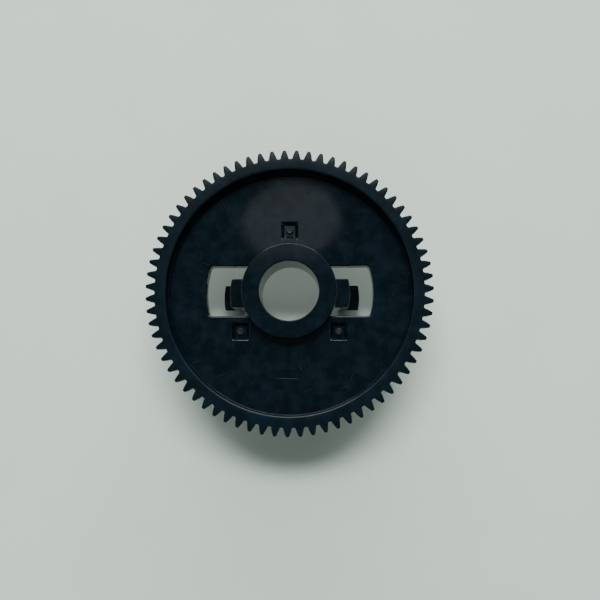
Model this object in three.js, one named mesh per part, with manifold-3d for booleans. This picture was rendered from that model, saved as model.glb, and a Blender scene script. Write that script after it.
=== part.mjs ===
// Moulded spur gear with a plain bore, a recessed web with two windows, and two snap fingers.
// Millimetres, +Z up. The gear axis is the Z axis. Z = 0 is the plane of the finger ends, and the
// toothed front face looks up. The rim, the web and the hub are three zones of one moulding. They
// share the same facets where they meet, so they touch without overlapping. The snap fingers bend
// at their roots, so each is a body of its own, with a thin slit between its root and the hub.

import * as THREE from 'three';
import { mergeVertices } from 'three/addons/utils/BufferGeometryUtils.js';
import Module from 'manifold-3d';

const wasm = await Module();
wasm.setup();

// ---------- driving dimensions ----------

const MODULE = 0.8;
const TEETH = 71;
const PRESSURE_ANGLE = THREE.MathUtils.degToRad(20);
const TOOTH_THICKNESS = 1.2;
const FIRST_TOOTH_ANGLE = THREE.MathUtils.degToRad(0.766);
const FACE_WIDTH = 3.0;
const TIP_ROUNDING = 0.16;
const ROOT_ROUNDING = 0.24;

const FRONT_Z = 18.1;
const RIM_INNER_RADIUS = 25.15;
const SKIRT_OUTER_RADIUS = 27.2;
const RIM_EDGE_CHAMFER = 0.35;

const WEB_RECESS = 2.8;
const WEB_THICKNESS = 3.0;

const HUB_OUTER_RADIUS = 9.72;
const HUB_LENGTH = 10.2;
const BORE_FRONT_RADIUS = 6.09;
const BORE_REAR_RADIUS = 6.2;
const HUB_EDGE_CHAMFER = 0.3;
const BORE_EDGE_CHAMFER = 0.2;

const WINDOW_OUTER_RADIUS = 17.35;
const WINDOW_TOP_Y = 5.43;
const WINDOW_BOTTOM_Y = -4.97;
const WINDOW_CORNER_RADIUS = 0.8;

const POCKET_MOUTH = 3.7;
const POCKET_FLOOR = 2.5;
const POCKET_DEPTH = 0.9;
const NUB_RADIUS = 0.8;
const NUB_HEIGHT = 0.5;
const POCKET_CENTRES = [[0, 12.97], [-10.1, -8.15], [10.1, -8.15]];

const FINGER_TOP_DEPTH = 5.0;
const FINGER_WIDTH = 6.04;
const FINGER_OUTER_RADIUS = 12.65;
const FINGER_INNER_FACE = 10.6;
const FINGER_ROOT_GAP = 0.1;
const FINGER_ROOT_HEIGHT = 2.2;
const FINGER_EDGE_CHAMFER = 0.3;
const CATCH_HEIGHT = 3.0;
const CATCH_RADIUS = 15.3;
const CATCH_WIDTH = 5.6;
const CATCH_LAND = 0.6;
const TOE_RADIUS = 12.4;

const ROUND_SEGMENTS = 96;
const NUB_SEGMENTS = 16;
const CORNER_SEGMENTS = 3;
const WINDOW_ARC_SEGMENTS = 14;

// How far cutting blocks and mark stubs run past the faces that they meet.
const CUT_OVERRUN = 0.5;

// ---------- worked-out dimensions ----------

const PITCH_RADIUS = (MODULE * TEETH) / 2;
const TIP_RADIUS = PITCH_RADIUS + MODULE;
const ROOT_RADIUS = PITCH_RADIUS - 1.25 * MODULE;
const BASE_RADIUS = PITCH_RADIUS * Math.cos(PRESSURE_ANGLE);
const TOOTH_PITCH = (2 * Math.PI) / TEETH;
const WEB_TOP_Z = FRONT_Z - WEB_RECESS;
const WEB_REAR_Z = WEB_TOP_Z - WEB_THICKNESS;
const HUB_REAR_Z = FRONT_Z - HUB_LENGTH;
const FINGER_TOP_Z = FRONT_Z - FINGER_TOP_DEPTH;

// ---------- solids ----------

// A closed three.js geometry as a manifold solid.
function toSolid(geometry) {
  geometry.deleteAttribute('normal');
  geometry.deleteAttribute('uv');
  const merged = mergeVertices(geometry, 1e-5);
  return new wasm.Manifold(new wasm.Mesh({
    numProp: 3,
    vertProperties: new Float32Array(merged.attributes.position.array),
    triVerts: new Uint32Array(merged.index.array),
  }));
}

function toGeometry(solid) {
  const { vertProperties, triVerts } = solid.getMesh();
  const geometry = new THREE.BufferGeometry();
  geometry.setAttribute('position', new THREE.BufferAttribute(vertProperties, 3));
  geometry.setIndex(new THREE.BufferAttribute(triVerts, 1));
  geometry.computeVertexNormals();
  return geometry;
}

// A closed profile of [radius, z] points, counter-clockwise, turned about the Z axis.
function turned(profile) {
  const points = [...profile, profile[0]].map(([radius, z]) => new THREE.Vector2(radius, z));
  const geometry = new THREE.LatheGeometry(points, ROUND_SEGMENTS);
  geometry.rotateX(Math.PI / 2);
  return toSolid(geometry);
}

// A plan outline raised from z = low to z = high.
function raised(shape, low, high) {
  const geometry = new THREE.ExtrudeGeometry(shape, {
    depth: high - low,
    bevelEnabled: false,
    curveSegments: ROUND_SEGMENTS / 2,
  });
  geometry.translate(0, 0, low);
  return toSolid(geometry);
}

function block(low, high) {
  const size = high.map((value, axis) => value - low[axis]);
  const geometry = new THREE.BoxGeometry(...size);
  geometry.translate(...low.map((value, axis) => value + size[axis] / 2));
  return toSolid(geometry);
}

function polar(radius, angle) {
  return new THREE.Vector2(radius * Math.cos(angle), radius * Math.sin(angle));
}

// ---------- toothed rim ----------

const involute = (angle) => Math.tan(angle) - angle;

// Half of a tooth's angular thickness at a radius.
function halfToothAngle(radius) {
  const atPitch = TOOTH_THICKNESS / 2 / PITCH_RADIUS;
  return atPitch + involute(PRESSURE_ANGLE) - involute(Math.acos(BASE_RADIUS / radius));
}

// One tooth as [radius, angle from its centre line], with a rounded root and tip.
function toothPoints() {
  const flank = [
    ROOT_RADIUS + ROOT_ROUNDING,
    PITCH_RADIUS - MODULE / 3,
    PITCH_RADIUS,
    TIP_RADIUS - TIP_ROUNDING,
  ].map((radius) => [radius, halfToothAngle(radius)]);
  const root = [ROOT_RADIUS, halfToothAngle(ROOT_RADIUS) + ROOT_ROUNDING / ROOT_RADIUS];
  const tip = [TIP_RADIUS, halfToothAngle(TIP_RADIUS) - TIP_ROUNDING / TIP_RADIUS];
  const half = [root, ...flank, tip];
  return [...half.map(([radius, angle]) => [radius, -angle]), ...half.reverse()];
}

function toothedOutline() {
  const tooth = toothPoints();
  const points = [];
  for (let i = 0; i < TEETH; i += 1) {
    const centre = FIRST_TOOTH_ANGLE + i * TOOTH_PITCH;
    points.push(...tooth.map(([radius, angle]) => polar(radius, centre + angle)));
  }
  return new THREE.Shape(points);
}

// The rim ring, down to the rear of the web, with the narrower toothed band round its front.
function toothedRim() {
  const band = toothedOutline();
  const inside = new THREE.Path();
  inside.absarc(0, 0, (RIM_INNER_RADIUS + SKIRT_OUTER_RADIUS) / 2, 0, 2 * Math.PI, true);
  band.holes.push(inside);
  const ring = turned([
    [RIM_INNER_RADIUS, WEB_REAR_Z],
    [SKIRT_OUTER_RADIUS, WEB_REAR_Z],
    [SKIRT_OUTER_RADIUS, FRONT_Z],
    [RIM_INNER_RADIUS + RIM_EDGE_CHAMFER, FRONT_Z],
    [RIM_INNER_RADIUS, FRONT_Z - RIM_EDGE_CHAMFER],
    [RIM_INNER_RADIUS, WEB_TOP_Z],
  ]);
  return ring.add(raised(band, FRONT_Z - FACE_WIDTH, FRONT_Z));
}

// ---------- web ----------

// A quarter-round corner from one direction to another, both angles in radians.
function corner(centreX, centreY, fromAngle, toAngle) {
  const points = [];
  for (let i = 0; i <= CORNER_SEGMENTS; i += 1) {
    const angle = fromAngle + ((toAngle - fromAngle) * i) / CORNER_SEGMENTS;
    points.push(polar(WINDOW_CORNER_RADIUS, angle).add(new THREE.Vector2(centreX, centreY)));
  }
  return points;
}

// The +X window. Its inner edge lies inside the hub, so the hub wall bounds the opening.
function windowOutline() {
  const reach = WINDOW_OUTER_RADIUS - WINDOW_CORNER_RADIUS;
  const lowY = WINDOW_BOTTOM_Y + WINDOW_CORNER_RADIUS;
  const highY = WINDOW_TOP_Y - WINDOW_CORNER_RADIUS;
  const lowAngle = Math.asin(lowY / reach);
  const highAngle = Math.asin(highY / reach);
  const arc = [];
  for (let i = 1; i < WINDOW_ARC_SEGMENTS; i += 1) {
    const angle = lowAngle + ((highAngle - lowAngle) * i) / WINDOW_ARC_SEGMENTS;
    arc.push(polar(WINDOW_OUTER_RADIUS, angle));
  }
  const inside = HUB_OUTER_RADIUS / 2;
  return new THREE.Shape([
    new THREE.Vector2(inside, WINDOW_BOTTOM_Y),
    ...corner(reach * Math.cos(lowAngle), lowY, -Math.PI / 2, lowAngle),
    ...arc,
    ...corner(reach * Math.cos(highAngle), highY, highAngle, Math.PI / 2),
    new THREE.Vector2(inside, WINDOW_TOP_Y),
  ]);
}

// A square pocket with sloped walls.
function gatePocket([x, y]) {
  const slope = (POCKET_MOUTH - POCKET_FLOOR) / POCKET_DEPTH;
  const depth = POCKET_DEPTH + CUT_OVERRUN;
  const mouth = POCKET_MOUTH + slope * CUT_OVERRUN;
  const geometry = new THREE.CylinderGeometry(mouth * Math.SQRT1_2, POCKET_FLOOR * Math.SQRT1_2, depth, 4);
  geometry.rotateX(Math.PI / 2);
  geometry.rotateZ(Math.PI / 4);
  geometry.translate(x, y, WEB_TOP_Z - POCKET_DEPTH + depth / 2);
  return toSolid(geometry);
}

// The round gate mark on a pocket's floor.
function gateNub([x, y]) {
  const height = NUB_HEIGHT + CUT_OVERRUN;
  const geometry = new THREE.CylinderGeometry(NUB_RADIUS, NUB_RADIUS, height, NUB_SEGMENTS);
  geometry.rotateX(Math.PI / 2);
  geometry.translate(x, y, WEB_TOP_Z - POCKET_DEPTH + NUB_HEIGHT - height / 2);
  return toSolid(geometry);
}

function webDisc() {
  const opening = raised(windowOutline(), WEB_REAR_Z - CUT_OVERRUN, WEB_TOP_Z + CUT_OVERRUN);
  let web = turned([
    [HUB_OUTER_RADIUS, WEB_REAR_Z],
    [RIM_INNER_RADIUS, WEB_REAR_Z],
    [RIM_INNER_RADIUS, WEB_TOP_Z],
    [HUB_OUTER_RADIUS, WEB_TOP_Z],
  ]);
  web = web.subtract(opening).subtract(opening.mirror([1, 0, 0]));
  for (const centre of POCKET_CENTRES) web = web.subtract(gatePocket(centre)).add(gateNub(centre));
  return web;
}

// ---------- hub ----------

function hubSleeve() {
  return turned([
    [BORE_REAR_RADIUS + BORE_EDGE_CHAMFER, HUB_REAR_Z],
    [HUB_OUTER_RADIUS - HUB_EDGE_CHAMFER, HUB_REAR_Z],
    [HUB_OUTER_RADIUS, HUB_REAR_Z + HUB_EDGE_CHAMFER],
    [HUB_OUTER_RADIUS, WEB_REAR_Z],
    [HUB_OUTER_RADIUS, WEB_TOP_Z],
    [HUB_OUTER_RADIUS, FRONT_Z - HUB_EDGE_CHAMFER],
    [HUB_OUTER_RADIUS - HUB_EDGE_CHAMFER, FRONT_Z],
    [BORE_FRONT_RADIUS + BORE_EDGE_CHAMFER, FRONT_Z],
    [BORE_FRONT_RADIUS, FRONT_Z - BORE_EDGE_CHAMFER],
    [BORE_REAR_RADIUS, HUB_REAR_Z + BORE_EDGE_CHAMFER],
  ]);
}

// ---------- snap fingers ----------

// The +X finger hangs from a root pad beside the hub and ends in an outward catch.
function snapFinger() {
  const padRadius = HUB_OUTER_RADIUS + FINGER_ROOT_GAP;
  const reach = CATCH_RADIUS + CUT_OVERRUN;
  const arm = turned([
    [padRadius, 0],
    [TOE_RADIUS, 0],
    [FINGER_OUTER_RADIUS, CATCH_HEIGHT],
    [FINGER_OUTER_RADIUS, FINGER_TOP_Z - FINGER_EDGE_CHAMFER],
    [FINGER_OUTER_RADIUS - FINGER_EDGE_CHAMFER, FINGER_TOP_Z],
    [padRadius, FINGER_TOP_Z],
  ]);
  const hook = turned([
    [padRadius, 0],
    [TOE_RADIUS, 0],
    [CATCH_RADIUS, CATCH_HEIGHT - CATCH_LAND],
    [CATCH_RADIUS, CATCH_HEIGHT],
    [padRadius, CATCH_HEIGHT],
  ]);
  const armSides = block([0, -FINGER_WIDTH / 2, -CUT_OVERRUN], [reach, FINGER_WIDTH / 2, FRONT_Z]);
  const hookSides = block([0, -CATCH_WIDTH / 2, -CUT_OVERRUN], [reach, CATCH_WIDTH / 2, FRONT_Z]);
  const padRear = FINGER_TOP_Z - FINGER_ROOT_HEIGHT;
  const relief = block([0, -FINGER_WIDTH, -CUT_OVERRUN], [FINGER_INNER_FACE, FINGER_WIDTH, padRear]);
  return arm.intersect(armSides).add(hook.intersect(hookSides)).subtract(relief);
}

// ---------- materials ----------

function satinBlack() {
  return new THREE.MeshStandardMaterial({ color: 0x15191b, roughness: 0.42, metalness: 0 });
}

function glossBlack() {
  return new THREE.MeshStandardMaterial({ color: 0x101315, roughness: 0.24, metalness: 0 });
}

// ---------- assembly ----------

function piece(name, solid, material) {
  const mesh = new THREE.Mesh(toGeometry(solid), material);
  mesh.name = name;
  return mesh;
}

const gear = new THREE.Group();
gear.add(piece('toothed_rim', toothedRim(), satinBlack()));
gear.add(piece('web_disc', webDisc(), glossBlack()));
gear.add(piece('hub_sleeve', hubSleeve(), satinBlack()));
gear.add(piece('snap_finger_right', snapFinger(), glossBlack()));
gear.add(piece('snap_finger_left', snapFinger().rotate([0, 0, 180]), glossBlack()));

export default gear;
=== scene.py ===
"""A black moulded spur gear with two snap fingers, on pale paper under soft studio light."""

import math

import bmesh
import bpy
from mathutils import Matrix, Vector


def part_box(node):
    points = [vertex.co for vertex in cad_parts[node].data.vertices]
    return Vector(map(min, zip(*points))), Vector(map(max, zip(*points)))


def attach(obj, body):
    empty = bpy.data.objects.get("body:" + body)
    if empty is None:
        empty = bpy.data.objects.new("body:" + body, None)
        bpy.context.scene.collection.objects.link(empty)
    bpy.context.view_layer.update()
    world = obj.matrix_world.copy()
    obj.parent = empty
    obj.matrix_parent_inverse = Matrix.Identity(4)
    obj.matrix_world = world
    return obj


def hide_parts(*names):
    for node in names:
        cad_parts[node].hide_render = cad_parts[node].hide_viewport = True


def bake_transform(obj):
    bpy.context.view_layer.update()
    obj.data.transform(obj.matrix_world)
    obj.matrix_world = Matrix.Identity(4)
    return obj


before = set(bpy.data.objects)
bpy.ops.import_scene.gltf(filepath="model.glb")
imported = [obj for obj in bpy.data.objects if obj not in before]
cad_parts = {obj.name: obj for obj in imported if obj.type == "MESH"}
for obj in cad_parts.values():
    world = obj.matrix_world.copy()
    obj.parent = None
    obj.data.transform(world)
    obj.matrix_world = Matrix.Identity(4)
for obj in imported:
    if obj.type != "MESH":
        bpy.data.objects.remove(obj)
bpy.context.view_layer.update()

MM = 0.001

# ---------- sizes, from the frame where it gives them ----------

WEB_LOW, WEB_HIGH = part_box("web_disc")
HUB_LOW, HUB_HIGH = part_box("hub_sleeve")
FINGER_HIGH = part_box("snap_finger_right")[1]

FRONT_Z = HUB_HIGH.z
WEB_TOP_Z = WEB_HIGH.z
WEB_REAR_Z = WEB_LOW.z
HUB_REAR_Z = HUB_LOW.z
RIM_INNER = WEB_HIGH.x
HUB_OUTER = HUB_HIGH.x

TEETH = 71
MODULE = 0.8 * MM
DEDENDUM = 1.25
PRESSURE_ANGLE = math.radians(20)
FIRST_TOOTH_ANGLE = math.radians(0.766)
PITCH_RADIUS = MODULE * TEETH / 2
TIP_RADIUS = PITCH_RADIUS + MODULE
ROOT_RADIUS = PITCH_RADIUS - DEDENDUM * MODULE
BASE_RADIUS = PITCH_RADIUS * math.cos(PRESSURE_ANGLE)
TOOTH_THICKNESS = 1.2 * MM
FLANK_SHARES = (0, 0.35, 0.6, 0.8, 1)
TIP_ROUNDING = 0.17 * MM
ROOT_ROUNDING = 0.26 * MM
FACE_WIDTH = 3.0 * MM
SKIRT_RADIUS = 27.2 * MM

BORE_FRONT = 6.09 * MM
BORE_REAR = 6.2 * MM

WINDOW_RADIUS = 17.35 * MM
WINDOW_TOP = 5.43 * MM
WINDOW_BOTTOM = -4.97 * MM
WINDOW_CORNER = 0.8 * MM
WINDOW_LIP = 0.4 * MM
WINDOW_ARC_STEPS = 16

POCKET_MOUTH = 3.7 * MM
POCKET_FLOOR = 2.5 * MM
POCKET_DEPTH = 0.9 * MM
POCKET_CORNERS = (0.2 * MM, 0.25 * MM, 0.3 * MM, 0.32 * MM, 0.36 * MM, 0.36 * MM)
NUB_RADIUS = 0.8 * MM
NUB_HEIGHT = 0.5 * MM
# Each level of a gate mark, as shares of its radius and its height.
NUB_PROFILE = [(1.0, -0.5), (1.0, 0.55), (0.9, 0.8), (0.68, 1.0), (0.3, 0.9)]
NUB_SEGMENTS = 32
NUB_MARGIN = 1.01
POCKET_CENTRES = [(0.0, 12.97 * MM), (-10.1 * MM, -8.15 * MM), (10.1 * MM, -8.15 * MM)]

FINGER_OUTER = 12.65 * MM
FINGER_INNER = 10.6 * MM
FINGER_PAD_HEIGHT = 2.2 * MM
FINGER_HALF = FINGER_HIGH.y
FINGER_CORNER = 0.25 * MM
FINGER_BEND = 0.5 * MM
FINGER_ARC_STEPS = 12
ARM_STEPS = 18
CATCH_HALF = 2.8 * MM
CATCH_TOP_Z = 3.0 * MM
CATCH_LAND = 0.6 * MM
CATCH_OUTER = FINGER_HIGH.x
TOE_OUTER = 12.4 * MM

# Each low ridge in the web's face: its two ends, its width and its height.
WELD_LINE = ([(0.4 * MM, -10.0 * MM), (0.25 * MM, -17.0 * MM)], 0.16 * MM, 0.05 * MM)
FLOW_LINE = ([(-3.0 * MM, -17.75 * MM), (2.1 * MM, -17.85 * MM)], 0.24 * MM, 0.06 * MM)
LEFT_CREASE = ([(-3.2 * MM, -16.6 * MM), (-2.1 * MM, -15.0 * MM)], 0.12 * MM, 0.025 * MM)
RIGHT_CREASE = ([(3.0 * MM, -16.4 * MM), (1.9 * MM, -15.2 * MM)], 0.12 * MM, 0.025 * MM)
# A ridge's section, as shares of its half width and its height. Its lowest points lie under the face.
RIDGE_SECTION = [(-1, -2), (1, -2), (0.8, 0.3), (0, 1), (-0.8, 0.3)]
RIDGE_STEPS = 8
RIDGE_END_SHARE = 0.25

HUB_NICKS = [((2.5 * MM, 9.5 * MM), 0.22 * MM), ((9.15 * MM, -1.35 * MM), 0.3 * MM)]
# Each level of a nick, as shares of its radius: how wide it is and how deep it lies.
NICK_PROFILE = [(1.3, -0.3), (1, 0), (0.75, 0.35), (0.3, 0.5)]
NICK_SEGMENTS = 16

# Edge roundings, and how far the web and the finger roots run into their neighbours.
EDGE = 0.12 * MM
LIP = 0.22 * MM
RIM_FILLET = 0.35 * MM
HUB_FILLET = 0.2 * MM
WEB_FILLET = 0.1 * MM
SINK = 0.25 * MM

ROUND_SEGMENTS = 256
CORNER_STEPS = 5
SMALL_CORNER_STEPS = 3
EDGE_STEPS = 4
SHARP_ANGLE = math.radians(35)

# ---------- looks ----------

PLASTIC_IOR = 1.48
SATIN_COLOUR = (0.0008, 0.0050, 0.0085)
GLOSS_COLOUR = (0.0006, 0.0040, 0.0070)
# What haze, handling and scratches add to the plastic's colour, roughness and relief.
TINT_GAIN = 1.7
TINT_LIFT = 0.0022
WORN_LIFT = 0.010
SCUFF_ROUGHNESS = 0.25
SCRATCH_DEPTH = 3
SCRATCH_ANGLES = (22, 71, 118, 163)
SCRATCH_SIZE = (24 / 4600, 1 / 4600, 24 / 4600)
SCRATCH_EDGES = (0.69, 0.69 + 0.03)
SCRATCH_BREAK_SCALE = 90
SMUDGE_SCALE = 170
TINT_SCALE = 420
GRAIN_SCALE = 5200
GRAIN_DEPTH = 0.02 * MM

# The gate marks' tops: paler colours that are partly torn plastic and partly a painted highlight of the
# light the tops catch.
TORN_AND_HIGHLIGHT_COLOURS = ((0.006, 0.010, 0.011), (0.022, 0.030, 0.030))
TEAR_SCALE = 2600
TEAR_DEPTH = 0.06 * MM

PAPER_COLOURS = ((0.655, 0.77, 0.68), (0.675, 0.79, 0.70))
MOTTLE_SCALE = 45
FIBRE_SCALE = 2400
FIBRE_DEPTH = 0.05 * MM

# ---------- stage ----------

FLOOR_HALF = 1.5
CAMERA_PLACE = (4.9 * MM, -14.09 * MM, FRONT_Z + 120.38 * MM)
CAMERA_TURN = (math.radians(5.75), math.radians(1.27), 0)
CAMERA_LENS = 36
SENSOR_WIDTH = 36

# Each lamp: its name, place, width, height and power. They all aim at the middle of the gear's front.
LAMPS = [
    ("key", (0.0, 0.52, 0.88), 0.7, 0.2, 11.4),
    ("fill", (0.0, -0.9, 0.9), 0.8, 0.4, 1.3),
    ("sky", (0.0, 0.78, 0.94), 1.4, 0.7, 4.7),
    ("low", (0.0, 1.3, 0.42), 1.5, 0.4, 14),
    ("left", (-1.3, 0.1, 0.45), 0.9, 0.5, 0.9),
    ("right", (1.3, 0.1, 0.45), 0.9, 0.5, 0.9),
    ("patch", (-0.04, 0.27, 1.1), 0.2, 0.15, 0.042),
]
UNREFLECTED = ("key", "fill")
ELLIPTICAL = ("patch",)
WORLD_COLOUR = (0.85, 0.96, 1.0, 1)
WORLD_STRENGTH = 0.1


# ---------- mesh making ----------


def fillet(points, radii, steps=CORNER_STEPS):
    """A closed 2D outline with each corner rounded to its radius, steps + 1 points a corner."""
    outline = []
    count = len(points)
    for i, corner in enumerate(points):
        here = Vector(corner)
        back = (Vector(points[i - 1]) - here).normalized()
        ahead = (Vector(points[(i + 1) % count]) - here).normalized()
        if not radii[i]:
            outline.append(here)
            continue
        half = back.angle(ahead) / 2
        centre = here + (back + ahead).normalized() * (radii[i] / math.sin(half))
        start = here + back * (radii[i] / math.tan(half)) - centre
        turn = start.angle_signed(here + ahead * (radii[i] / math.tan(half)) - centre)
        for k in range(steps + 1):
            angle = -turn * k / steps
            rotated = Matrix.Rotation(angle, 2) @ start
            outline.append(centre + rotated)
    return outline


def quarter(steps=EDGE_STEPS):
    """The angles from 0 to a right angle, both included."""
    return [math.pi / 2 * k / steps for k in range(steps + 1)]


def polar(radius, angle):
    return Vector((radius * math.cos(angle), radius * math.sin(angle)))


def link(name, mesh):
    piece = bpy.data.objects.new(name, mesh)
    bpy.context.scene.collection.objects.link(piece)
    return piece


def loft(name, rings, closed=False):
    """A mesh through rings of equal count, capped at both ends unless it closes on itself."""
    shape = bmesh.new()
    rows = [[shape.verts.new(point) for point in ring] for ring in rings]
    count = len(rows[0])
    spans = len(rows) if closed else len(rows) - 1
    for j in range(spans):
        low, high = rows[j], rows[(j + 1) % len(rows)]
        for i in range(count):
            n = (i + 1) % count
            shape.faces.new((low[i], low[n], high[n], high[i]))
    if not closed:
        shape.faces.new(rows[0])
        shape.faces.new(rows[-1])
    bmesh.ops.recalc_face_normals(shape, faces=shape.faces)
    mesh = bpy.data.meshes.new(name)
    shape.to_mesh(mesh)
    shape.free()
    return link(name, mesh)


def lathe(name, profile):
    """A closed (radius, z) profile turned about the Z axis."""
    angles = [2 * math.pi * i / ROUND_SEGMENTS for i in range(ROUND_SEGMENTS)]
    rings = [[(*polar(radius, angle), z) for angle in angles] for radius, z in profile]
    return loft(name, rings, closed=True)


def boolean(piece, tool, operation):
    """Cuts tool from piece, or joins it, and removes tool."""
    modifier = piece.modifiers.new("boolean", "BOOLEAN")
    modifier.object = tool
    modifier.operation = operation
    modifier.solver = "EXACT"
    graph = bpy.context.evaluated_depsgraph_get()
    piece.data = bpy.data.meshes.new_from_object(piece.evaluated_get(graph))
    piece.modifiers.clear()
    bpy.data.objects.remove(tool)


def smooth(piece):
    """Smooth shading that keeps flat faces flat and real corners sharp."""
    for polygon in piece.data.polygons:
        polygon.use_smooth = True
    piece.data.set_sharp_from_angle(angle=SHARP_ANGLE)
    piece.modifiers.new("weighted normals", "WEIGHTED_NORMAL").keep_sharp = True


# ---------- toothed rim ----------


def half_tooth_angle(radius):
    def involute(angle):
        return math.tan(angle) - angle

    at_pitch = TOOTH_THICKNESS / 2 / PITCH_RADIUS
    return at_pitch + involute(PRESSURE_ANGLE) - involute(math.acos(BASE_RADIUS / radius))


def tooth_outline():
    """The rim's outer outline, every tooth with involute flanks and a rounded tip and root."""
    flank = [ROOT_RADIUS + share * (TIP_RADIUS - ROOT_RADIUS) for share in FLANK_SHARES]
    radii = [ROOT_ROUNDING, 0, 0, 0, TIP_ROUNDING]
    points, rounding = [], []
    for tooth in range(TEETH):
        centre = FIRST_TOOTH_ANGLE + 2 * math.pi * tooth / TEETH
        points += [polar(r, centre - half_tooth_angle(r)) for r in flank]
        points += [polar(r, centre + half_tooth_angle(r)) for r in reversed(flank)]
        rounding += radii + radii[::-1]
    return fillet(points, rounding, SMALL_CORNER_STEPS)


def outline_normals(outline):
    """The outward direction at each point of an outline that runs anticlockwise."""
    normals = []
    for i, point in enumerate(outline):
        along = outline[(i + 1) % len(outline)] - outline[i - 1]
        normals.append(Vector((along.y, -along.x)).normalized())
    return normals


def make_rim():
    outline = tooth_outline()
    normals = outline_normals(outline)
    angles = [math.atan2(point.y, point.x) for point in outline]

    def circle(radius, z):
        return [(*polar(radius, angle), z) for angle in angles]

    def teeth(inset, z):
        return [(*(point - normal * inset), z) for point, normal in zip(outline, normals)]

    band_rear = FRONT_Z - FACE_WIDTH
    rings = [circle(RIM_INNER, WEB_REAR_Z), circle(RIM_INNER, FRONT_Z - RIM_FILLET)]
    for a in quarter()[1:]:
        radius = RIM_INNER + RIM_FILLET * (1 - math.cos(a))
        rings.append(circle(radius, FRONT_Z - RIM_FILLET * (1 - math.sin(a))))
    rings.append(circle(SKIRT_RADIUS - EDGE, FRONT_Z))
    for a in quarter():
        rings.append(teeth(EDGE * (1 - math.sin(a)), FRONT_Z - EDGE * (1 - math.cos(a))))
    for a in reversed(quarter()):
        rings.append(teeth(EDGE * (1 - math.sin(a)), band_rear + EDGE * (1 - math.cos(a))))
    rings.append(circle(SKIRT_RADIUS, band_rear))
    rings.append(circle(SKIRT_RADIUS, WEB_REAR_Z + LIP))
    for a in quarter()[1:]:
        radius = SKIRT_RADIUS - LIP * (1 - math.cos(a))
        rings.append(circle(radius, WEB_REAR_Z + LIP * (1 - math.sin(a))))
    return loft("rim", rings, closed=True)


# ---------- web ----------


def web_profile():
    """The web's section, with a fillet up to the hub and the rim, and its edges sunk into both."""
    steps = quarter(CORNER_STEPS)
    near_hub = HUB_OUTER + HUB_FILLET
    near_rim = RIM_INNER - WEB_FILLET
    hub_fillet = [(near_hub - HUB_FILLET * math.cos(a), HUB_FILLET * (1 - math.sin(a))) for a in steps]
    rim_fillet = [(near_rim + WEB_FILLET * math.sin(a), WEB_FILLET * (1 - math.cos(a))) for a in steps]
    top = [(r, WEB_TOP_Z + rise) for r, rise in hub_fillet + rim_fillet]
    outer = [(RIM_INNER + SINK, WEB_TOP_Z + WEB_FILLET), (RIM_INNER + SINK, WEB_REAR_Z + SINK)]
    rear = [(RIM_INNER, WEB_REAR_Z)]
    rear += [(r, WEB_REAR_Z - rise) for r, rise in reversed(hub_fillet)]
    inner = [(HUB_OUTER - SINK, WEB_REAR_Z - HUB_FILLET), (HUB_OUTER - SINK, WEB_TOP_Z + HUB_FILLET)]
    return top + outer + rear + inner


def window_outline():
    """The window's outline. Its arc leaves out the points that the two rounded corners replace."""
    low, high = (math.asin(y / WINDOW_RADIUS) for y in (WINDOW_BOTTOM, WINDOW_TOP))
    steps = WINDOW_ARC_STEPS
    arc = [polar(WINDOW_RADIUS, low + (high - low) * i / steps) for i in range(2, steps - 1)]
    inside = HUB_OUTER / 2
    points = [(inside, WINDOW_BOTTOM), polar(WINDOW_RADIUS, low), *arc]
    points += [polar(WINDOW_RADIUS, high), (inside, WINDOW_TOP)]
    rounding = [0, WINDOW_CORNER, *[0] * len(arc), WINDOW_CORNER, 0]
    return fillet(points, rounding)


def window_cutter(side):
    """A window's opening, flared at both faces so that the cut leaves rounded lips."""
    outline = window_outline()
    normals = outline_normals(outline)
    steps = quarter(CORNER_STEPS)
    up = [(WINDOW_LIP * (1 - math.cos(a)), WEB_TOP_Z - WINDOW_LIP * (1 - math.sin(a))) for a in steps]
    down = [(LIP * (1 - math.cos(a)), WEB_REAR_Z + LIP * (1 - math.sin(a))) for a in reversed(steps)]
    stations = [(LIP, WEB_REAR_Z - MM), *down, *up, (WINDOW_LIP, WEB_TOP_Z + MM)]
    rings = []
    for offset, z in stations:
        ring = [point + normal * offset for point, normal in zip(outline, normals)]
        rings.append([(side * point.x, point.y, z) for point in ring])
    return loft("window", rings)


def square_ring(centre, half, z, corner):
    corners = [(-half, -half), (half, -half), (half, half), (-half, half)]
    outline = fillet(corners, [corner] * 4)
    return [(point.x + centre[0], point.y + centre[1], z) for point in outline]


def pocket_cutter(centre):
    floor_z = WEB_TOP_Z - POCKET_DEPTH
    mouth, floor = POCKET_MOUTH / 2, POCKET_FLOOR / 2
    levels = [
        (floor - EDGE, floor_z),
        (floor, floor_z + EDGE),
        (mouth - EDGE, WEB_TOP_Z - EDGE),
        (mouth, WEB_TOP_Z - EDGE / 4),
        (mouth + EDGE, WEB_TOP_Z + EDGE / 2),
        (mouth + EDGE, WEB_TOP_Z + MM),
    ]
    rings = []
    for (half, z), corner in zip(levels, POCKET_CORNERS):
        rings.append(square_ring(centre, half, z, corner))
    return loft("pocket", rings)


def gate_nub(centre):
    """The round gate mark, with a rounded edge and a slightly sunken top."""
    base = WEB_TOP_Z - POCKET_DEPTH
    angles = [2 * math.pi * i / NUB_SEGMENTS for i in range(NUB_SEGMENTS)]
    rings = []
    for share, rise in NUB_PROFILE:
        ring = [polar(NUB_RADIUS * share, angle) for angle in angles]
        rings.append([(p.x + centre[0], p.y + centre[1], base + NUB_HEIGHT * rise) for p in ring])
    return loft("nub", rings)


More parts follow.
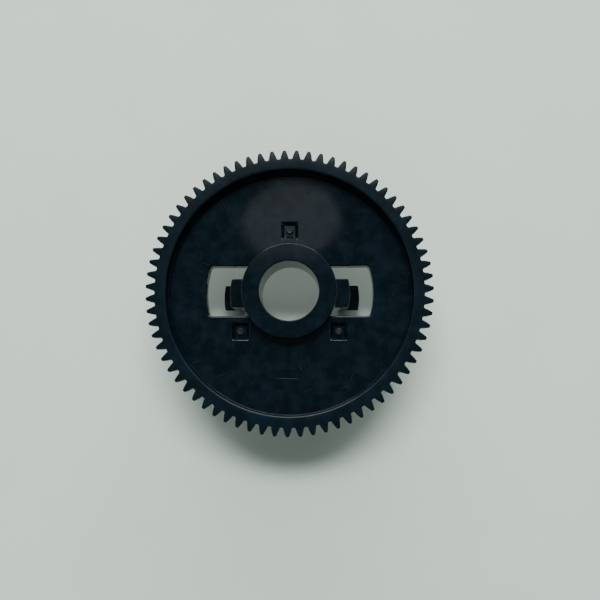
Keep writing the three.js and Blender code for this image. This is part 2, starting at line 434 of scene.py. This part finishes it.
def flow_mark(ends, width, height):
    """A low ridge in the web's face, widest in the middle, such as a weld or flow line leaves."""
    start, end = (Vector(point) for point in ends)
    across = Vector((start.y - end.y, end.x - start.x)).normalized()
    rings = []
    for k in range(RIDGE_STEPS + 1):
        middle = start.lerp(end, k / RIDGE_STEPS)
        swell = RIDGE_END_SHARE + (1 - RIDGE_END_SHARE) * math.sin(math.pi * k / RIDGE_STEPS)
        ring = []
        for side, share in RIDGE_SECTION:
            place = middle + across * side * swell * width / 2
            rise = share * height
            ring.append((*place, WEB_TOP_Z + rise * (swell if rise > 0 else 1)))
        rings.append(ring)
    return loft("flow mark", rings)


def make_web():
    web = lathe("web", web_profile())
    for side in (1, -1):
        boolean(web, window_cutter(side), "DIFFERENCE")
    for centre in POCKET_CENTRES:
        boolean(web, pocket_cutter(centre), "DIFFERENCE")
        boolean(web, gate_nub(centre), "UNION")
    for ends, width, height in (WELD_LINE, FLOW_LINE, LEFT_CREASE, RIGHT_CREASE):
        boolean(web, flow_mark(ends, width, height), "UNION")
    return web


def on_gate_mark(centre):
    """Whether a face's middle lies on the top of a gate mark."""
    high = centre.z > WEB_TOP_Z - POCKET_DEPTH + NUB_HEIGHT / 3
    reach = NUB_RADIUS * NUB_MARGIN
    near = any((centre.xy - Vector(pocket)).length < reach for pocket in POCKET_CENTRES)
    return high and near


# ---------- hub ----------


def nick(place, radius):
    """A shallow dent in the hub's front face."""
    angles = [2 * math.pi * i / NICK_SEGMENTS for i in range(NICK_SEGMENTS)]
    rings = []
    for share, depth in NICK_PROFILE:
        ring = [polar(radius * share, angle) for angle in angles]
        rings.append([(p.x + place[0], p.y + place[1], FRONT_Z - radius * depth) for p in ring])
    return loft("nick", rings)


def make_hub():
    rear = [(BORE_REAR, HUB_REAR_Z), (HUB_OUTER, HUB_REAR_Z)]
    front = [(HUB_OUTER, FRONT_Z), (BORE_FRONT, FRONT_Z)]
    hub = lathe("hub", fillet(rear + front, [LIP] * 4))
    for place, radius in HUB_NICKS:
        boolean(hub, nick(place, radius), "DIFFERENCE")
    return hub


# ---------- snap fingers ----------


def finger_ring(inner, outer, half, z):
    """One level of a finger: a flat inner face, two sides, and an outer face round the gear axis."""
    steps = FINGER_ARC_STEPS
    edge = math.asin(half / outer)
    arc = [polar(outer, edge * (2 * i / steps - 1)) for i in range(2, steps - 1)]
    start, end = polar(outer, -edge), polar(outer, edge)
    points = [(inner, -half), start, *arc, end, (inner, half)]
    rounding = [FINGER_CORNER, FINGER_CORNER, *[0] * len(arc), FINGER_CORNER, FINGER_CORNER]
    return [(*point, z) for point in fillet(points, rounding, SMALL_CORNER_STEPS)]


def make_finger(name, turn):
    """A finger from its root down to its catch, built for the right side and turned about the axis."""
    top_z = FINGER_HIGH.z
    root = HUB_OUTER - SINK
    pad_z = top_z - FINGER_PAD_HEIGHT
    levels = []
    for a in quarter():
        inset = LIP * (1 - math.sin(a))
        z = top_z - LIP * (1 - math.cos(a))
        levels.append((root, FINGER_OUTER - inset, FINGER_HALF - inset, z))
    levels.append((root, FINGER_OUTER, FINGER_HALF, pad_z))
    for a in quarter():
        inner = FINGER_INNER - FINGER_BEND * (1 - math.sin(a))
        z = pad_z - FINGER_BEND * (1 - math.cos(a)) - EDGE / 4
        levels.append((inner, FINGER_OUTER, FINGER_HALF, z))
    arm_low, arm_high = CATCH_TOP_Z + LIP, pad_z - FINGER_BEND
    for k in range(1, ARM_STEPS + 1):
        z = arm_high + (arm_low - arm_high) * k / ARM_STEPS
        levels.append((FINGER_INNER, FINGER_OUTER, FINGER_HALF, z))
    for a in quarter()[1:]:
        half = FINGER_HALF + (CATCH_HALF - FINGER_HALF) * a / (math.pi / 2)
        outer = FINGER_OUTER + LIP * (1 - math.cos(a))
        levels.append((FINGER_INNER, outer, half, CATCH_TOP_Z + LIP * (1 - math.sin(a))))
    for a in quarter():
        outer = CATCH_OUTER - EDGE * (1 - math.sin(a))
        levels.append((FINGER_INNER, outer, CATCH_HALF, CATCH_TOP_Z - EDGE * (1 - math.cos(a))))
    levels.append((FINGER_INNER, CATCH_OUTER, CATCH_HALF, CATCH_TOP_Z - CATCH_LAND))
    levels.append((FINGER_INNER, TOE_OUTER + EDGE, CATCH_HALF, 2 * EDGE))
    levels.append((FINGER_INNER, TOE_OUTER - EDGE, CATCH_HALF, EDGE / 2))
    levels.append((FINGER_INNER + EDGE, TOE_OUTER - 2 * EDGE, CATCH_HALF - EDGE, 0))
    finger = loft(name, [finger_ring(inner, outer, half, z) for inner, outer, half, z in levels])
    finger.data.transform(Matrix.Rotation(turn, 4, "Z"))
    return finger


# ---------- materials ----------


class Shading:
    """The node tree of one material, with short ways to add its textures."""

    def __init__(self, name):
        self.material = bpy.data.materials.new(name)
        self.material.use_nodes = True
        self.nodes, self.links = self.material.node_tree.nodes, self.material.node_tree.links
        self.shader = self.nodes["Principled BSDF"]
        self.place = self.nodes.new("ShaderNodeTexCoord").outputs["Object"]

    def noise(self, scale, detail, place=None):
        node = self.nodes.new("ShaderNodeTexNoise")
        node.inputs["Scale"].default_value = scale
        node.inputs["Detail"].default_value = detail
        self.links.new(place or self.place, node.inputs["Vector"])
        return node.outputs["Fac"]

    def remap(self, value, source, target):
        node = self.nodes.new("ShaderNodeMapRange")
        node.inputs["From Min"].default_value, node.inputs["From Max"].default_value = source
        node.inputs["To Min"].default_value, node.inputs["To Max"].default_value = target
        self.links.new(value, node.inputs["Value"])
        return node.outputs["Result"]

    def join(self, operation, first, second):
        node = self.nodes.new("ShaderNodeMath")
        node.operation = operation
        self.links.new(first, node.inputs[0])
        self.links.new(second, node.inputs[1])
        return node.outputs["Value"]

    def blend(self, factor, first, second):
        node = self.nodes.new("ShaderNodeMix")
        node.data_type = "RGBA"
        for socket, colour in (("A", first), ("B", second)):
            if isinstance(colour, tuple):
                node.inputs[socket].default_value = (*colour, 1)
            else:
                self.links.new(colour, node.inputs[socket])
        self.links.new(factor, node.inputs["Factor"])
        return node.outputs["Result"]

    def scratches(self, angle):
        """Thin straight marks in one direction, broken up so that only a few show."""
        turn = self.nodes.new("ShaderNodeMapping")
        turn.vector_type = "TEXTURE"
        turn.inputs["Rotation"].default_value[2] = math.radians(angle)
        turn.inputs["Scale"].default_value = SCRATCH_SIZE
        self.links.new(self.place, turn.inputs["Vector"])
        lines = self.remap(self.noise(1, 2, turn.outputs["Vector"]), SCRATCH_EDGES, (0, 1))
        sparse = self.remap(self.noise(SCRATCH_BREAK_SCALE + angle, 2), (0.5, 0.6), (0, 1))
        return self.join("MULTIPLY", lines, sparse)

    def bump(self, height, strength, distance):
        node = self.nodes.new("ShaderNodeBump")
        node.inputs["Strength"].default_value = strength
        node.inputs["Distance"].default_value = distance
        self.links.new(height, node.inputs["Height"])
        self.links.new(node.outputs["Normal"], self.shader.inputs["Normal"])


def plastic(name, colour, roughness, smudge, grain, wear):
    """Black moulded plastic: fine grain, smudges, and light handling scratches set by wear."""
    shading = Shading(name)
    shading.shader.inputs["IOR"].default_value = PLASTIC_IOR
    smudges = shading.noise(SMUDGE_SCALE, 6)
    marks = shading.scratches(SCRATCH_ANGLES[0])
    for angle in SCRATCH_ANGLES[1:]:
        marks = shading.join("MAXIMUM", marks, shading.scratches(angle))
    tint = shading.remap(shading.noise(TINT_SCALE, 8), (0.4, 0.66), (0, 1))
    hazed = tuple(channel * TINT_GAIN + TINT_LIFT * wear for channel in colour)
    ground = shading.blend(tint, colour, hazed)
    worn = tuple(channel + WORN_LIFT * wear for channel in colour)
    shading.links.new(shading.blend(marks, ground, worn), shading.shader.inputs["Base Color"])
    gloss = shading.remap(smudges, (0.35, 0.68), (roughness - smudge, roughness + smudge))
    scuffed = shading.remap(marks, (0, 1), (0, SCUFF_ROUGHNESS * wear))
    shading.links.new(shading.join("ADD", gloss, scuffed), shading.shader.inputs["Roughness"])
    grooves = shading.remap(marks, (0, 1), (0, -SCRATCH_DEPTH * wear))
    relief = shading.join("ADD", shading.noise(GRAIN_SCALE, 3), grooves)
    shading.bump(relief, grain, GRAIN_DEPTH)
    return shading.material


def torn_plastic_painted_highlight():
    """The rough surface where the gate was broken off; its paler colour is partly torn plastic and
    partly a painted highlight.
    """
    shading = Shading("torn_black_painted_highlight")
    shading.shader.inputs["IOR"].default_value = PLASTIC_IOR
    tears = shading.noise(TEAR_SCALE, 5)
    share = shading.remap(tears, (0.35, 0.65), (0, 1))
    colour = shading.blend(share, *TORN_AND_HIGHLIGHT_COLOURS)
    shading.links.new(colour, shading.shader.inputs["Base Color"])
    shading.links.new(shading.remap(tears, (0.3, 0.7), (0.28, 0.5)), shading.shader.inputs["Roughness"])
    shading.bump(tears, 0.35, TEAR_DEPTH)
    return shading.material


def paper():
    """Smooth pale paper with a faint mottle and fibre grain."""
    shading = Shading("paper")
    mottle = shading.remap(shading.noise(MOTTLE_SCALE, 4), (0.35, 0.65), (0, 1))
    colour = shading.blend(mottle, *PAPER_COLOURS)
    shading.links.new(colour, shading.shader.inputs["Base Color"])
    shading.links.new(shading.remap(mottle, (0, 1), (0.86, 0.94)), shading.shader.inputs["Roughness"])
    shading.shader.inputs["Specular IOR Level"].default_value = 0.2
    shading.bump(shading.noise(FIBRE_SCALE, 6), 0.12, FIBRE_DEPTH)
    return shading.material


# ---------- stage ----------


def make_floor():
    half = FLOOR_HALF
    mesh = bpy.data.meshes.new("floor")
    corners = [(-half, -half, 0), (half, -half, 0), (half, half, 0), (-half, half, 0)]
    mesh.from_pydata(corners, [], [(0, 1, 2, 3)])
    floor = link("floor", mesh)
    floor.data.materials.append(paper())


def make_camera():
    """Almost along the gear axis, a little to the right of it and below."""
    data = bpy.data.cameras.new("camera")
    data.sensor_width = SENSOR_WIDTH
    data.lens = CAMERA_LENS
    data.clip_start = MM
    camera = bpy.data.objects.new("camera", data)
    camera.location = CAMERA_PLACE
    camera.rotation_euler = CAMERA_TURN
    bpy.context.scene.collection.objects.link(camera)
    bpy.context.scene.camera = camera


def area_light(name, place, width, height, power):
    data = bpy.data.lights.new(name, "AREA")
    data.shape = "ELLIPSE" if name in ELLIPTICAL else "RECTANGLE"
    data.size, data.size_y = width, height
    data.energy = power
    lamp = bpy.data.objects.new(name, data)
    lamp.location = place
    aim = Vector((0, 0, FRONT_Z)) - Vector(place)
    lamp.rotation_euler = aim.to_track_quat("-Z", "Y").to_euler()
    lamp.visible_glossy = name not in UNREFLECTED
    bpy.context.scene.collection.objects.link(lamp)


def make_lights():
    for lamp in LAMPS:
        area_light(*lamp)
    world = bpy.data.worlds.new("world")
    world.use_nodes = True
    background = world.node_tree.nodes["Background"]
    background.inputs["Color"].default_value = WORLD_COLOUR
    background.inputs["Strength"].default_value = WORLD_STRENGTH
    bpy.context.scene.world = world


# ---------- assembly ----------


def add_gear(satin, gloss, semi, torn_painted_highlight):
    """The rim, the web and the hub, which never move against each other."""
    for piece, node, material in (
        (make_rim(), "toothed_rim", satin),
        (make_web(), "web_disc", gloss),
        (make_hub(), "hub_sleeve", semi),
    ):
        smooth(piece)
        piece.data.materials.clear()
        piece.data.materials.append(material)
        if node == "web_disc":
            # The gate marks' tops take the paler material, partly torn plastic and partly a painted
            # highlight.
            piece.data.materials.append(torn_painted_highlight)
            for polygon in piece.data.polygons:
                polygon.material_index = int(on_gate_mark(polygon.center))
        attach(piece, "gear")
        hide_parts(node)


def add_fingers(gloss):
    """The two fingers, each from its root at the hub down to its catch, built for the right side and
    turned for the left.
    """
    for side, turn, sign in (("right", 0.0, 1), ("left", math.pi, -1)):
        piece = make_finger(f"finger_{side}", turn)
        smooth(piece)
        piece.data.materials.append(gloss)
        body = f"snap_finger_{side}"
        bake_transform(piece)
        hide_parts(body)


make_camera()
make_lights()
make_floor()

SATIN = plastic("satin_black", SATIN_COLOUR, roughness=0.24, smudge=0.03, grain=0.22, wear=0.4)
GLOSS = plastic("gloss_black", GLOSS_COLOUR, roughness=0.065, smudge=0.03, grain=0.06, wear=1.0)
SEMI = plastic("semi_gloss_black", GLOSS_COLOUR, roughness=0.13, smudge=0.03, grain=0.08, wear=0.6)
# Paler material for the gate marks' tops, partly a painted highlight.
TORN_PAINTED_HIGHLIGHT = torn_plastic_painted_highlight()

add_gear(SATIN, GLOSS, SEMI, TORN_PAINTED_HIGHLIGHT)
add_fingers(GLOSS)
